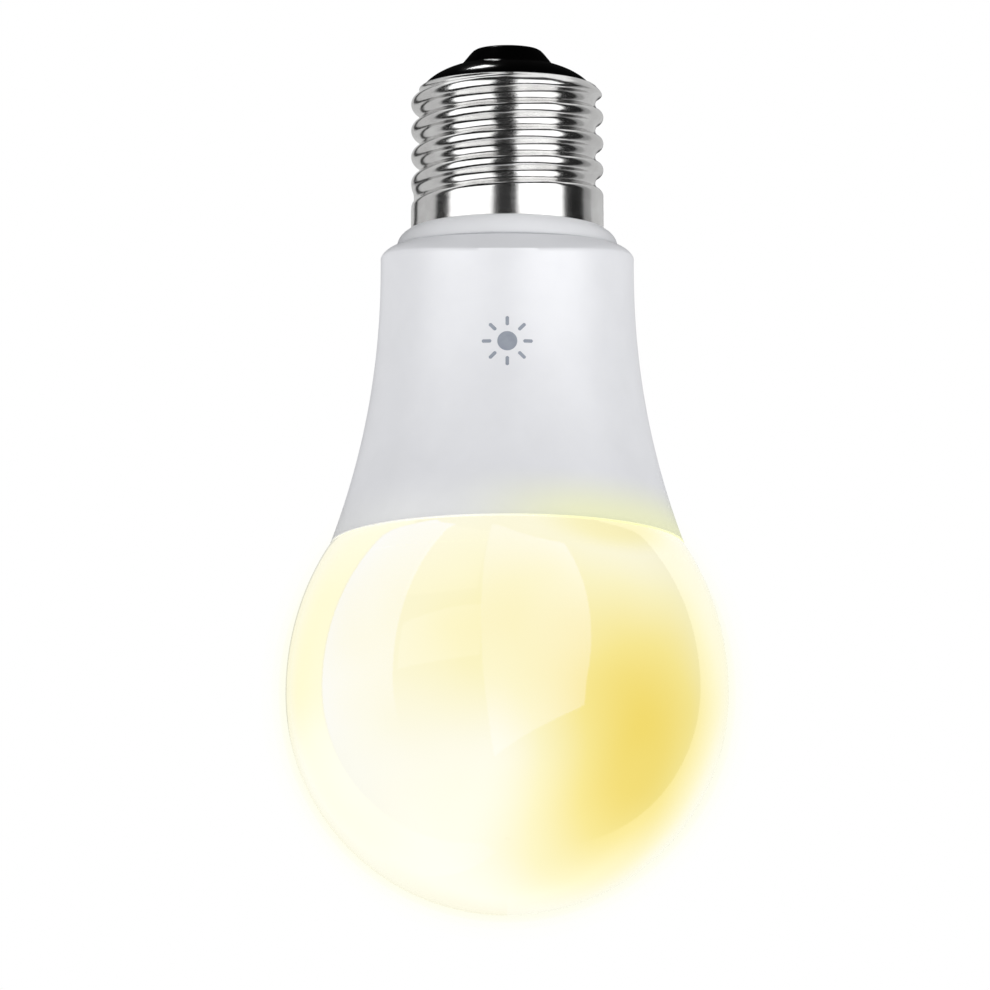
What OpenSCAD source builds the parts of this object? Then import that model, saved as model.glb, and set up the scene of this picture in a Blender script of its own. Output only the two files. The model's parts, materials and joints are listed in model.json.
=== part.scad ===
// Smart light bulb with an E27 screw cap, a moulded housing and a diffusing globe.
// It hangs cap-up: +Z points out of the cap, and z = 0 is the cap's rim, where the metal shell
// stands on the white collar. All sizes are in millimetres.

/* [Cap] */
// Radius of the smooth metal band, and of the thread over its crests
cap_r = 13.05; // [12.9:0.05:13.1]
// Distance between neighbouring thread crests
thread_pitch = 3.629; // [3.55:0.001:3.7]
// Depth of the rolled thread from crest to root
thread_depth = 1.1; // [0.95:0.05:1.15]
// Height of the metal shell above its rim
shell_h = 19.8; // [19.6:0.1:20]
// Height of the centre contact above the rim
cap_h = 25; // [24.9:0.1:25.3]

/* [Collar] */
// Radius of the collar at its lower edge
collar_r = 15; // [14.8:0.05:15.05]
// Height of the collar's rounded face
collar_h = 2.8; // [2.6:0.05:2.9]

/* [Housing] */
// Depth of the joint between housing and globe below the cap's rim
housing_h = 43.2; // [42.8:0.2:44.4]
// Radius of the housing just under its shoulder
shoulder_r = 17.15; // [16.95:0.1:17.55]
// Radius of the housing at the joint with the globe
joint_r = 24; // [23.8:0.1:24.4]
// How late the housing flares out, where 1 is a straight cone
flare = 2.1; // [1.9:0.05:2.3]
// Wall thickness of the housing
housing_wall = 1.4; // [1.2:0.1:1.5]

/* [Globe] */
// Radius of the globe at its widest
globe_r = 30; // [29:0.5:31]
// How tall the globe's upper half would be if it closed at the axis
globe_rise = 34; // [32:0.5:36]
// Wall thickness of the globe
globe_wall = 1.5; // [1.2:0.1:1.8]

/* [Light source] */
// Radius of the round LED board
led_board_r = 20.2; // [19.6:0.1:20.4]
// Number of LEDs in the outer ring
outer_leds = 12; // [8:1:14]
// Number of LEDs in the inner ring
inner_leds = 6; // [4:1:8]

/* [Driver] */
// Width of the driver board in the cup
driver_w = 22; // [20:0.5:22.5]
// Radius of the input capacitor in the cap
input_cap_r = 5; // [4:0.25:5]
// Radius of the output capacitor beside the radio board
output_cap_r = 4; // [3:0.25:4]

/* [Hidden] */
$fn = 96;

fit_gap = 0.1;      // between parts that slide together
cut = 1;            // how far a cutter runs past what it cuts

// screw shell: the band below the thread is a true cylinder
band_h = 2.7;
shell_bore_r = cap_r - 1.45;
shell_mouth_r = 10.6;              // opening that the insulator plugs
shell_lip = 1;                     // thickness of the curled-in top edge
thread_r = cap_r - 0.02;           // crests stay just inside the band
thread_root = 0.5;                 // how far the threaded stretch reaches into the band
crest_z = 8.4;                     // height of a crest on the +X side
runout_from = 150;                 // angles over which the lowest groove fades in
runout_to = 220;
curl_z = 17.6;                     // where the shell starts to curl in
curl_drop = 1.2;
thread_arc = thread_depth / 4 + pow(thread_pitch, 2) / (16 * thread_depth);
thread_steps = 44;
thread_sides = 48;

// insulator
dome_r = 12;
dome_rise = 5.35;
dome_z = shell_h - 1.6;
nub_base_r = 6.3;
nub_side_r = 5;                    // where the nub's sloping side starts to round over
nub_top_r = 4.3;
nub_top_z = cap_h - 0.1;
plug_h = 2.2;
contact_r = 3.15;
contact_t = 0.5;
contact_edge = 0.15;
stem_r = 1.5;
stem_bottom_z = shell_h - 1.2;

// driver cup: spigot inside the shell, collar, then the cup inside the housing
spigot_r = shell_bore_r - fit_gap;
spigot_wall = 1.2;
spigot_h = shell_h - shell_lip - 1.2;
neck_r = collar_r - 0.6;
neck_h = 7.5;
cup_r = 14;
cup_wall = 1.2;
cup_h = 34;
cup_bore_r = cup_r - cup_wall;
lid_t = 1.2;

// housing
rim_z = -collar_h;
rim_r = collar_r + 0.15;
shoulder_h = 2;                    // height of the shoulder's rounded face
shoulder_z = rim_z - shoulder_h;
housing_hole_r = neck_r + fit_gap;
housing_top_t = 2.6;
flare_steps = 16;
flare_h = housing_h + shoulder_z;
seat_r = joint_r - 2.3;            // recess that takes the globe's skirt

// heat sink, pad and LED board, stacked below the ledge
sink_wall = 1;
sink_top_z = -8.5;
ledge_z = -38;
ledge_t = 1.4;
ledge_r = 15;
pad_t = 0.2;
led_board_t = 1.2;
led_board_z = ledge_z - pad_t - led_board_t;
led_size = [2.8, 3.5, 0.7];
outer_led_ring_r = 13.5;
inner_led_ring_r = 9.3;
screw_ring_r = 17.6;
screw_count = 3;
screw_r = 1.15;
screw_head_r = 2.1;
screw_head_h = 1.3;
screw_slot = [2.4, 0.5, 0.8];
screw_tip_z = ledge_z + ledge_t + 0.6;

// globe
globe_z = -housing_h - globe_rise * sqrt(1 - pow(joint_r / globe_r, 2));
skirt_r = seat_r - fit_gap;
skirt_h = 2.2;
globe_steps = 14;

// driver board: it stands along the axis, with tall parts on its -Y face
board_y = 3.5;
board_t = 1;
board_top_z = 13;
board_step_z = -2;
board_bottom_z = -32;
board_neck_w = 16;
rail = [2.6, 0.8, 18];
rail_x = 10.2;                     // inner edge, which reaches over the board's edge
rail_z = -25;

// radio board: it passes through the LED board, so that its antenna is clear of the metal
radio_w = 14;
radio_t = 0.8;
radio_top_z = -22;
radio_bottom_z = -46.5;
radio_slot = [15, 2.4];

// transformer
core_w = 16;
core_d = 5.2;
core_h = 14;
core_leg = 4.4;
core_side = 1.8;
core_yoke = 2.5;
bobbin_wall = 0.65;
bobbin_half = [core_leg / 2 + fit_gap / 2 + bobbin_wall, core_d / 2 + fit_gap / 2 + bobbin_wall];
bobbin_h = core_h - 2 * core_yoke - 0.2;
bobbin_flange = 0.7;
transformer_at = [0, -2, -12];
winding_r = 5;

// other parts of the driver, placed on its front and back faces
back_y = board_y + board_t;
input_cap_z = -3.5;
input_cap_h = 18;
output_cap_z = radio_top_z - 9.8;
output_cap_h = 12;
film_cap = [7.2, 6, 9];
film_cap_at = [4.2, -6.2, radio_top_z - 9.5];
choke_at = [-4.5, 8, -14];
choke_r = 3;
choke_core_r = 1.6;
choke_h = 7;
choke_flange = 1;
resistor_at = [4.5, back_y + 1.9, -14];
chips_z = -24;                     // lower ends of the rectifier and the controller
header_z = -26.9;                  // middle of the pins between the two boards

// leads, which lie against the front face of the driver board
lead_r = 0.6;
lead_y = board_y - lead_r;
mains_lead_x = 3.2;
mains_lead_z = 9.5;
neutral_z = spigot_h - 1.2;        // where the neutral lead runs out to the shell
notch = [7, 2, 3];
led_lead_x = 9;
led_lead_top_z = -29;
wire_sides = 40;

// ---- shared outlines -------------------------------------------------------------------

// Radius of the housing's outer wall at height z, below the shoulder
function housing_r(z) =
    shoulder_r + (joint_r - shoulder_r) * pow(max(0, (shoulder_z - z) / flare_h), flare);

// Outer wall of the housing from z_top down to z_bottom, moved inwards by inset
function housing_wall_points(z_top, z_bottom, inset) = [
    for (i = [0:flare_steps])
        let (z = z_top + (z_bottom - z_top) * i / flare_steps) [housing_r(z) - inset, z]
];

// Radius and height of the globe's surface, moved inwards by inset, at an angle above its widest
// line. The upper half is an ellipse and the lower half a sphere.
function globe_point(angle, inset) = [
    (globe_r - inset) * cos(angle),
    globe_z + ((angle > 0 ? globe_rise : globe_r) - inset) * sin(angle)
];
// Outline of the globe from the joint down to its lowest point
function globe_arc(inset) =
    let (top = asin((-housing_h - globe_z) / (globe_rise - inset))) [
        for (i = [0:globe_steps]) globe_point(top * (1 - i / globe_steps), inset),
        for (i = [1:globe_steps]) globe_point(-90 * i / globe_steps, inset)
    ];
function reversed(points) = [for (i = [len(points) - 1:-1:0]) points[i]];

// Height of the screw thread's surface below its crest, u along the axis from the crest
function thread_dip(u) =
    u < thread_pitch / 4
        ? thread_arc - sqrt(pow(thread_arc, 2) - u * u)
        : thread_depth - thread_arc + sqrt(pow(thread_arc, 2) - pow(thread_pitch / 2 - u, 2));
function smooth(t) = let (c = min(1, max(0, t))) c * c * (3 - 2 * c);

// Radius of the threaded stretch at angle a and height z. The right-hand groove fades in
// above the band, and the top curls in towards the insulator.
function shell_r(a, z) =
    let (
        turn = (z - crest_z) / thread_pitch - a / 360,
        groove = floor(turn) + 2,
        fade = smooth((360 * groove + a - runout_from) / (runout_to - runout_from)),
        u = thread_pitch * abs(turn - round(turn)),
        curl = curl_drop * pow(max(0, (z - curl_z) / (shell_h - curl_z)), 3)
    ) min(thread_r - fade * thread_dip(u), thread_r - curl);

// ---- shared shapes ---------------------------------------------------------------------

module ring(outer, inner, h) {
    difference() {
        cylinder(r = outer, h = h);
        translate([0, 0, -cut]) cylinder(r = inner, h = h + 2 * cut);
    }
}

module box(size, at) {
    translate(at - [size[0] / 2, size[1] / 2, 0]) cube(size);
}

module screw_places() {
    for (i = [0:screw_count - 1]) rotate([0, 0, 90 + 360 * i / screw_count])
        translate([screw_ring_r, 0, 0]) children();
}

// A round wire through the points, with a slightly fuller ball at each bend
module wire(points, r) {
    for (i = [0:len(points) - 2]) {
        way = points[i + 1] - points[i];
        length = norm(way);
        translate(points[i]) rotate([0, acos(way[2] / length), atan2(way[1], way[0])])
            cylinder(r = r, h = length, $fn = wire_sides);
    }
    for (i = [1:len(points) - 2]) translate(points[i]) sphere(r = 1.04 * r, $fn = wire_sides);
}

// ---- cap -------------------------------------------------------------------------------

module centre_contact() {
    color("silver") rotate_extrude() polygon([
        [0, stem_bottom_z], [stem_r, stem_bottom_z], [stem_r, cap_h - contact_t],
        [contact_r, cap_h - contact_t], [contact_r, cap_h - contact_edge],
        [contact_r - contact_edge, cap_h], [0, cap_h]
    ]);
}

module cap_insulator() {
    nub_z = dome_z + dome_rise * sqrt(1 - pow(nub_base_r / dome_r, 2));
    start = asin((shell_h - dome_z) / dome_rise);
    end = acos(nub_base_r / dome_r);
    dome_steps = 8;
    seat_z = cap_h - contact_t;
    bore_r = stem_r + fit_gap / 2;
    color([0.06, 0.06, 0.06]) rotate_extrude() polygon(concat(
        [[bore_r, shell_h - plug_h], [shell_mouth_r - fit_gap, shell_h - plug_h],
         [shell_mouth_r - fit_gap, shell_h]],
        [for (i = [0:dome_steps]) let (a = start + (end - start) * i / dome_steps)
            [dome_r * cos(a), dome_z + dome_rise * sin(a)]],
        [[nub_side_r, nub_top_z - 0.55], [nub_side_r - 0.35, nub_top_z - 0.2],
         [nub_top_r, nub_top_z],
         [contact_r + fit_gap / 2, nub_top_z], [contact_r + fit_gap / 2, seat_z],
         [bore_r, seat_z]]
    ));
}

// The threaded stretch as a solid core, from inside the band up to the top edge
module threaded_core() {
    z0 = band_h - thread_root;
    step = (shell_h - z0) / thread_steps;
    points = [
        for (k = [0:thread_steps], s = [0:thread_sides - 1])
            let (a = 360 * s / thread_sides, z = z0 + k * step, r = shell_r(a, z))
                [r * cos(a), r * sin(a), z]
    ];
    sides = [
        for (k = [0:thread_steps - 1], s = [0:thread_sides - 1])
            let (
                low = k * thread_sides,
                high = low + thread_sides,
                next = (s + 1) % thread_sides
            ) each [[low + s, high + s, low + next], [low + next, high + s, high + next]]
    ];
    last = thread_steps * thread_sides;
    polyhedron(points, concat(
        sides,
        [[for (s = [0:thread_sides - 1]) s]],
        [[for (s = [thread_sides - 1:-1:0]) last + s]]
    ));
}

module screw_shell() {
    color("gainsboro") difference() {
        union() {
            cylinder(r = cap_r, h = band_h);
            threaded_core();
        }
        translate([0, 0, -cut]) cylinder(r = shell_bore_r, h = shell_h - shell_lip + cut);
        translate([0, 0, -cut]) cylinder(r = shell_mouth_r, h = shell_h + 2 * cut);
    }
}

// ---- body ------------------------------------------------------------------------------

module driver_cup() {
    spigot_bore_r = spigot_r - spigot_wall;
    color("whitesmoke") {
        difference() {
            rotate_extrude() polygon([
                [spigot_bore_r, spigot_h], [spigot_bore_r, 1], [cup_bore_r, -collar_h],
                [cup_bore_r, -cup_h], [cup_r, -cup_h], [cup_r, -neck_h], [neck_r, -neck_h],
                [neck_r, -collar_h - 0.4], [collar_r - 0.1, -collar_h],
                // the collar's rounded face
                [collar_r, -collar_h + 0.2], [collar_r - 0.03, -2.1], [collar_r - 0.12, -1.7],
                [collar_r - 0.26, -1.35], [collar_r - 0.5, -0.95], [collar_r - 0.9, -0.55],
                [collar_r - 1.4, -0.2], [collar_r - 1.7, 0],
                [spigot_r, 0], [spigot_r, spigot_h]
            ]);
            // notch that lets the neutral lead out to the shell
            box(notch, [-spigot_r, lead_y, neutral_z - notch[1] / 2 - 0.2]);
        }
        // rails that hold the driver board's edges
        for (side = [-1, 1], y = [board_y - rail[1], board_y + board_t])
            box(rail, [side * (rail_x + rail[0] / 2), y + rail[1] / 2, rail_z]);
    }
}

module driver_cup_lid() {
    color("whitesmoke") translate([0, 0, -cup_h]) difference() {
        cylinder(r = cup_bore_r - fit_gap / 2, h = lid_t);
        box([radio_slot[0], radio_slot[1], lid_t + 2 * cut], [0, 0, -cut]);
        for (side = [-1, 1]) translate([led_lead_x * side, lead_y, -cut])
            cylinder(r = lead_r + 0.2, h = lid_t + 2 * cut, $fn = 32);
    }
}

module housing() {
    top_inner_z = rim_z - housing_top_t;
    color("ghostwhite") rotate_extrude() polygon(concat(
        [[housing_hole_r, top_inner_z], [housing_hole_r, rim_z - 0.65], [rim_r - 0.05, rim_z - 0.1],
         [rim_r, rim_z], [shoulder_r - 1.3, rim_z - 0.45], [shoulder_r - 0.65, rim_z - 0.9],
         [shoulder_r - 0.25, rim_z - 1.35], [shoulder_r - 0.05, rim_z - 1.75]],
        housing_wall_points(shoulder_z, -housing_h, 0),
        [for (p = reversed(housing_wall_points(top_inner_z, -housing_h, housing_wall)))
            [min(p[0], seat_r), p[1]]]
    ));
}

module heat_sink() {
    inset = housing_wall + fit_gap;
    color("silver") difference() {
        rotate_extrude() polygon(concat(
            housing_wall_points(sink_top_z, ledge_z, inset),
            [[ledge_r, ledge_z], [ledge_r, ledge_z + ledge_t]],
            reversed(housing_wall_points(sink_top_z, ledge_z + ledge_t, inset + sink_wall))
        ));
        translate([0, 0, ledge_z - cut]) screw_places()
            cylinder(r = screw_r, h = ledge_t + 2 * cut, $fn = 32);
    }
}

module thermal_pad() {
    color("lightgray") difference() {
        translate([0, 0, ledge_z - pad_t]) ring(led_board_r - 0.4, ledge_r + 0.2, pad_t);
        translate([0, 0, ledge_z - pad_t - cut]) screw_places()
            cylinder(r = screw_r + 0.25, h = pad_t + 2 * cut, $fn = 32);
    }
}

// ---- light source ----------------------------------------------------------------------

module led_board() {
    color("white") difference() {
        translate([0, 0, led_board_z]) cylinder(r = led_board_r, h = led_board_t);
        box([radio_slot[0], radio_slot[1], led_board_t + 2 * cut], [0, 0, led_board_z - cut]);
        translate([0, 0, led_board_z - cut]) screw_places()
            cylinder(r = screw_r + 0.15, h = led_board_t + 2 * cut, $fn = 32);
    }
}

module led_ring(count, r, turn) {
    for (i = [0:count - 1]) rotate([0, 0, turn + 360 * i / count])
        box(led_size, [r, 0, led_board_z - led_size[2]]);
}

module leds() {
    color("khaki") {
        led_ring(outer_leds, outer_led_ring_r, 15);
        led_ring(inner_leds, inner_led_ring_r, 30);
    }
}

module led_board_screws() {
    color("silver") screw_places() difference() {
        union() {
            translate([0, 0, led_board_z]) cylinder(r = screw_r, h = screw_tip_z - led_board_z,
                                                    $fn = 32);
            translate([0, 0, led_board_z - screw_head_h])
                cylinder(r = screw_head_r, h = screw_head_h, $fn = 48);
        }
        // cross recess
        for (turn = [0, 90]) rotate([0, 0, turn])
            box([screw_slot[0], screw_slot[1], screw_slot[2] + cut],
                [0, 0, led_board_z - screw_head_h - cut]);
    }
}

module globe() {
    color([1, 0.97, 0.8]) rotate_extrude() polygon(concat(
        [[skirt_r, -housing_h + skirt_h], [skirt_r, -housing_h]],
        globe_arc(0),
        reversed(globe_arc(globe_wall)),
        [[skirt_r - globe_wall, -housing_h], [skirt_r - globe_wall, -housing_h + skirt_h]]
    ));
}

module globe_adhesive() {
    bead_h = 0.7;
    bead_z = -housing_h + skirt_h;
    color("white") translate([0, 0, bead_z])
        ring(housing_r(bead_z + bead_h) - housing_wall - 0.05, skirt_r - globe_wall + 0.4, bead_h);
}

// ---- driver ----------------------------------------------------------------------------

module driver_board() {
    y = board_y + board_t / 2;
    color("darkgreen") {
        box([driver_w, board_t, board_step_z - board_bottom_z], [0, y, board_bottom_z]);
        box([board_neck_w, board_t, board_top_z - board_step_z], [0, y, board_step_z]);
    }
}

// An electrolytic capacitor standing on z = 0, with the rolled groove near its leads
module electrolytic(r, h) {
    groove = 0.35;
    rotate_extrude() polygon([
        [0, 0], [r - 0.5, 0], [r, 0.5], [r, 1.6], [r - groove, 2], [r - groove, 2.4],
        [r, 2.8], [r, h - 0.4], [r - 0.4, h], [0, h]
    ]);
}

module input_capacitor() {
    color([0.12, 0.14, 0.2]) translate([0, board_y - 0.5 - input_cap_r, input_cap_z])
        electrolytic(input_cap_r, input_cap_h);
}

module output_capacitor() {
    color([0.12, 0.14, 0.2]) translate([-4.6, -2.6 - output_cap_r, output_cap_z])
        electrolytic(output_cap_r, output_cap_h);
}

module film_capacitor() {
    groove = 0.4;
    color("goldenrod") translate(film_cap_at) difference() {
        box(film_cap, [0, 0, 0]);
        // mould line around the front face
        box([film_cap[0] + cut, groove, groove], [0, -film_cap[1] / 2, film_cap[2] / 2]);
    }
}

module choke_core() {
    color("dimgray") translate(choke_at) {
        cylinder(r = choke_r, h = choke_flange);
        cylinder(r = choke_core_r, h = choke_h);
        translate([0, 0, choke_h - choke_flange]) cylinder(r = choke_r, h = choke_flange);
    }
}

module choke_winding() {
    color("peru") translate(choke_at + [0, 0, choke_flange])
        ring(choke_r - 0.3, choke_core_r, choke_h - 2 * choke_flange);
}

module transformer_core() {
    window_w = (core_w - core_leg) / 2 - core_side;
    window_h = core_h - 2 * core_yoke;
    color("dimgray") translate(transformer_at - [0, 0, core_h / 2]) difference() {
        box([core_w, core_d, core_h], [0, 0, 0]);
        for (side = [-1, 1])
            box([window_w, core_d + 2 * cut, window_h],
                [side * (core_leg + window_w) / 2, 0, core_yoke]);
    }
}

module transformer_bobbin() {
    flange_half = [core_w / 2 - core_side - 0.2, board_y - transformer_at[1]];
    color("black") translate(transformer_at - [0, 0, bobbin_h / 2]) difference() {
        union() {
            box([2 * bobbin_half[0], 2 * bobbin_half[1], bobbin_h], [0, 0, 0]);
            for (z = [0, bobbin_h - bobbin_flange])
                box([2 * flange_half[0], 2 * flange_half[1], bobbin_flange], [0, 0, z]);
        }
        box([core_leg + fit_gap, core_d + fit_gap, bobbin_h + 2 * cut], [0, 0, -cut]);
    }
}

module transformer_winding() {
    color("gold") translate(transformer_at - [0, 0, bobbin_h / 2 - bobbin_flange]) difference() {
        cylinder(r = winding_r, h = bobbin_h - 2 * bobbin_flange);
        box([2 * bobbin_half[0], 2 * bobbin_half[1], bobbin_h + 2 * cut], [0, 0, -cut]);
    }
}

module fusible_resistor() {
    h = 7;
    cap = 1.2;      // height of the thicker end caps
    reach = 1.5;    // how far each leg stands out before it bends to the board
    color("steelblue") translate(resistor_at) {
        cylinder(r = 1.1, h = h, $fn = 48);
        for (z = [0, h - cap]) translate([0, 0, z]) cylinder(r = 1.3, h = cap, $fn = 48);
        for (z = [[-reach, 0], [h + reach, h]])
            wire([[0, back_y + 0.3 - resistor_at[1], z[0]], [0, 0, z[0]], [0, 0, z[1]]], 0.3);
    }
}

// A moulded package on the back of the driver board, with legs along its two long sides
module chip(size, at, legs) {
    leg = [0.9, 0.5, 0.5];
    pitch = size[2] / legs;
    box(size, at + [0, size[1] / 2, 0]);
    for (side = [-1, 1], i = [0:legs - 1])
        box(leg, at + [side * (size[0] + leg[0]) / 2, leg[1] / 2, pitch * (i + 0.5) - leg[2] / 2]);
}

module bridge_rectifier() {
    color("black") chip([4.2, 2.4, 5], [4.5, back_y, chips_z], 2);
}

module controller_ic() {
    color("black") chip([3.9, 1.6, 5], [-4, back_y, chips_z], 4);
}

module output_diode() {
    color("black") chip([4.3, 2.2, 2.6], [0, back_y, chips_z - 5.5], 1);
}

// Small resistors and capacitors on the back of the driver board: a column near each edge
// and a row at the top
module surface_parts() {
    size = [1.6, 0.6, 0.8];
    y = back_y + size[1] / 2;
    color("tan") {
        for (x = [-8.5, 8.8], i = [0:5]) box(size, [x, y, chips_z - 5 + 2.2 * i]);
        for (i = [0:3]) box(size, [-4.5 + 3 * i, y, board_step_z - 2.5]);
    }
}

// ---- radio -----------------------------------------------------------------------------

module radio_board() {
    color("darkgreen")
        box([radio_w, radio_t, radio_top_z - radio_bottom_z], [0, 0, radio_bottom_z]);
}

module radio_shield() {
    shield = [11, 1.7, 8.5];
    color("silver") difference() {
        box(shield, [0, -(radio_t + shield[1]) / 2, radio_top_z - shield[2] - 1]);
        // dimple that shows which corner is the first
        box([1, 0.2, 1], [-4.4, -radio_t / 2 - shield[1], radio_top_z - 2.4]);
    }
}

module radio_antenna() {
    antenna = [7, 1.2, 2];
    color("white") box(antenna, [0, -(radio_t + antenna[1]) / 2, radio_bottom_z + 1]);
}

// Header that joins the driver board to the radio board
module board_header() {
    gap = board_y - radio_t / 2;
    y = radio_t / 2 + gap / 2;
    pins = 4;
    pin = 0.6;
    pitch = 2.54;
    color([0.1, 0.1, 0.1]) {
        box([pins * pitch, gap - 0.8, 2.2], [0, y, header_z - 1.1]);
        for (i = [0:pins - 1])
            box([pin, gap, pin], [pitch * (i - (pins - 1) / 2), y, header_z - pin / 2]);
    }
}

// ---- leads -----------------------------------------------------------------------------

module live_lead() {
    color("firebrick") wire([
        [mains_lead_x, lead_y, mains_lead_z], [mains_lead_x, lead_y, 15],
        [0, 0, 17.4], [0, 0, stem_bottom_z]
    ], lead_r);
}

module neutral_lead() {
    color("royalblue") wire([
        [-mains_lead_x, lead_y, mains_lead_z], [-mains_lead_x, lead_y, neutral_z],
        [lead_r - shell_bore_r, lead_y, neutral_z]
    ], lead_r);
}

// The two straight leads from the driver board to the LED board
module led_leads() {
    z = led_board_z + led_board_t;
    color("firebrick") for (side = [-1, 1]) translate([led_lead_x * side, lead_y, z])
        cylinder(r = lead_r, h = led_lead_top_z - z, $fn = wire_sides);
}

centre_contact();
cap_insulator();
screw_shell();
driver_cup();
driver_cup_lid();
housing();
heat_sink();
thermal_pad();
led_board();
leds();
led_board_screws();
globe();
globe_adhesive();
driver_board();
input_capacitor();
output_capacitor();
film_capacitor();
choke_core();
choke_winding();
transformer_core();
transformer_bobbin();
transformer_winding();
fusible_resistor();
bridge_rectifier();
controller_ic();
output_diode();
surface_parts();
radio_board();
radio_shield();
radio_antenna();
board_header();
live_lead();
neutral_lead();
led_leads();
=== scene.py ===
"""Looks of the smart light bulb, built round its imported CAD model.

Same frame as the CAD, in metres: z = 0 is the cap's rim, +Z points out of the cap, -Y is the
front. Outlines and sizes below are in millimetres and are multiplied by MM.
"""

import json
import math

import bmesh
import bpy
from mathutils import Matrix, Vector


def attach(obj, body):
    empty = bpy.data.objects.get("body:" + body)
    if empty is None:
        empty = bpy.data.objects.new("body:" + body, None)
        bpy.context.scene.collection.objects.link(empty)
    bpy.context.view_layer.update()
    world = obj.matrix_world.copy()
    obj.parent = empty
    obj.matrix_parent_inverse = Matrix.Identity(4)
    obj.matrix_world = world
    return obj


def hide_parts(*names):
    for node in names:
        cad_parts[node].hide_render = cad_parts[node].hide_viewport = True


MM = 0.001

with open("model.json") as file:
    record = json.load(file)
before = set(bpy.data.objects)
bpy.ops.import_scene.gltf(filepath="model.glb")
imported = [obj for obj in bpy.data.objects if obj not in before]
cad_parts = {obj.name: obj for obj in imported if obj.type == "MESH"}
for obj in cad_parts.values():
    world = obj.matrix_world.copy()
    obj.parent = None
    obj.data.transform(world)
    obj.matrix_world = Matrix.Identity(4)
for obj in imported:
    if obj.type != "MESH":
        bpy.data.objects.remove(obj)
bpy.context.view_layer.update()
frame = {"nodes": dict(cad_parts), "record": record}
nodes = frame["nodes"]


# ---- materials ---------------------------------------------------------------------------

def srgb(r, g, b):
    """A colour given in display values from 0 to 255, as linear RGBA."""
    def linear(c):
        c /= 255
        return c / 12.92 if c <= 0.04045 else ((c + 0.055) / 1.055) ** 2.4
    return (linear(r), linear(g), linear(b), 1)


class Finish:
    """A material round one Principled shader, with helpers for procedural detail in object space."""

    def __init__(self, name, **sockets):
        self.material = bpy.data.materials.new(name)
        self.material.use_nodes = True
        self.tree = self.material.node_tree
        self.shader = next(n for n in self.tree.nodes if n.type == "BSDF_PRINCIPLED")
        self.point = self.node("ShaderNodeTexCoord").outputs["Object"]
        for socket, value in sockets.items():
            self.shader.inputs[socket.replace("_", " ")].default_value = value

    def node(self, kind, inputs=None, **settings):
        made = self.tree.nodes.new(kind)
        for key, value in settings.items():
            setattr(made, key, value)
        for key, value in (inputs or {}).items():
            if isinstance(value, bpy.types.NodeSocket):
                self.tree.links.new(value, made.inputs[key])
            else:
                made.inputs[key].default_value = value
        return made

    def drive(self, socket, value):
        self.tree.links.new(value, self.shader.inputs[socket])

    def place(self, scale=(1, 1, 1), turn=(0, 0, 0), at=(0, 0, 0), point=None):
        """Object coordinates in mm, from the place at, turned and then scaled."""
        moved = self.node("ShaderNodeVectorMath", {0: point or self.point, 1: [-c * MM for c in at]},
                          operation="ADD").outputs[0]
        turned = self.node("ShaderNodeMapping", {"Vector": moved, "Rotation": turn}).outputs[0]
        return self.node("ShaderNodeVectorMath", {0: turned, 1: [c / MM for c in scale]},
                         operation="MULTIPLY").outputs[0]

    def noise(self, size, stretch=(1, 1, 1), detail=4, rough=0.55):
        """Noise from 0 to 1 with patches about size mm across."""
        scale = [s / size for s in stretch]
        return self.node("ShaderNodeTexNoise", {
            "Vector": self.place(scale), "Scale": 1, "Detail": detail, "Roughness": rough,
        }).outputs["Fac"]

    def span(self, value, low, high, start=0.0, end=1.0, smooth=False):
        """value from start to end, mapped to low to high and held there."""
        return self.node("ShaderNodeMapRange", {
            "Value": value, "From Min": start, "From Max": end, "To Min": low, "To Max": high,
        }, interpolation_type="SMOOTHSTEP" if smooth else "LINEAR").outputs["Result"]

    def math(self, operation, a, b):
        return self.node("ShaderNodeMath", {0: a, 1: b}, operation=operation).outputs[0]

    def ramp(self, value, stops):
        """A colour ramp through (place, colour) stops."""
        made = self.node("ShaderNodeValToRGB", {"Fac": value})
        elements = made.color_ramp.elements
        while len(elements) < len(stops):
            elements.new(0.5)
        for element, (position, colour) in zip(elements, stops):
            element.position, element.color = position, colour
        return made.outputs["Color"]

    def mix(self, factor, a, b):
        made = self.node("ShaderNodeMix", data_type="RGBA")
        for key, value in ((0, factor), (6, a), (7, b)):
            if isinstance(value, bpy.types.NodeSocket):
                self.tree.links.new(value, made.inputs[key])
            else:
                made.inputs[key].default_value = value
        return made.outputs[2]

    def relief(self, height, depth, strength=1.0, normal=None):
        """Bump of about depth mm from a height between 0 and 1."""
        made = self.node("ShaderNodeBump", {"Height": height, "Distance": depth * MM,
                                            "Strength": strength})
        if normal is not None:
            self.tree.links.new(normal, made.inputs["Normal"])
        return made.outputs["Normal"]


def plain_finish(name, dark, light, rough, patch=6, grain=0.25, depth=0.004, stretch=(1, 1, 1),
                 **sockets):
    """Colour and roughness that wander over patches, and a fine grain in relief."""
    f = Finish(name, **sockets)
    wander = f.noise(patch, stretch)
    f.drive("Base Color", f.ramp(wander, [(0.3, dark), (0.7, light)]))
    fine = f.noise(grain, stretch, detail=2)
    f.drive("Roughness", f.span(f.math("ADD", f.math("MULTIPLY", wander, 0.6),
                                       f.math("MULTIPLY", fine, 0.4)), rough[0], rough[1], 0.3, 0.7))
    f.drive("Normal", f.relief(fine, depth))
    return f


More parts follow.
